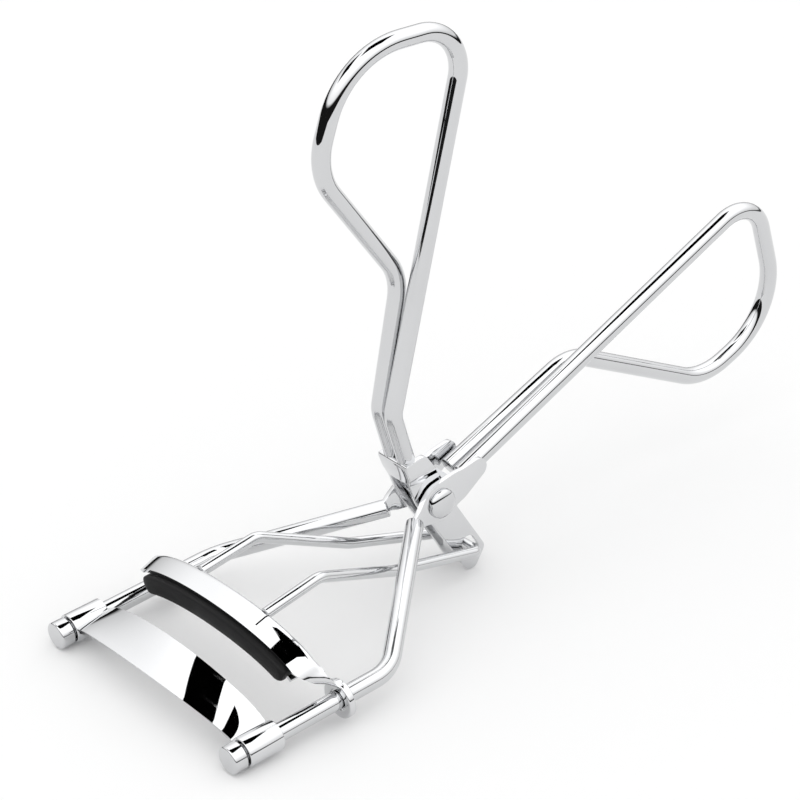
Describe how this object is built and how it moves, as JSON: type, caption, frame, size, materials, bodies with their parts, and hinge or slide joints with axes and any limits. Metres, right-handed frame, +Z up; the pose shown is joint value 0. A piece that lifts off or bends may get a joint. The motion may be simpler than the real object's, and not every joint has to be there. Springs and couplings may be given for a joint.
{
  "type": "eyelash curler",
  "caption": "Hand-held chrome wire eyelash curler: a scissor lever with finger loops drives a padded curved moving jaw along guide rods onto a fixed jaw.",
  "frame": {"origin": "on the table, under the centre of the object's bounding box", "axes": "+Y from the rod tips and jaws back to the finger loops, +X across the jaws along the pivot, +Z up from the table"},
  "size_m": [0.0458, 0.1226, 0.0879],
  "materials": {
    "chrome_wire": "mirror-polished plated wire",
    "chrome_sheet": "mirror-polished plated sheet",
    "chrome_turned": "bright plated turned metal",
    "black_silicone": "matte moulded silicone"
  },
  "bodies": {
    "frame": {"frame_yoke": "chrome_sheet", "frame_handle_loop": "chrome_wire", "left_guide_rod": "chrome_wire", "right_guide_rod": "chrome_wire", "fixed_jaw": "chrome_sheet", "left_rod_cap": "chrome_turned", "right_rod_cap": "chrome_turned", "pivot_rivet": "chrome_turned"},
    "lever": {"lever_yoke": "chrome_sheet", "lever_handle_loop": "chrome_wire"},
    "carriage": {"moving_jaw": "chrome_sheet", "silicone_pad": "black_silicone", "left_push_wire": "chrome_wire", "right_push_wire": "chrome_wire"}
  },
  "joints": [
    {"name": "lever_hinge", "type": "hinge", "parent": "frame", "child": "lever", "pos_m": [0, -0.00929, 0.01439], "axis": [-1, 0, 0], "range_deg": [0, 22.64]},
    {"name": "jaw_slide", "type": "slide", "parent": "frame", "child": "carriage", "axis": [0, -0.997, -0.0771], "range_m": [0, 0.005]}
  ],
  "couplings": [
    {"joint": "jaw_slide", "follows": "lever_hinge", "m_per_rad": 0.012654}
  ]
}
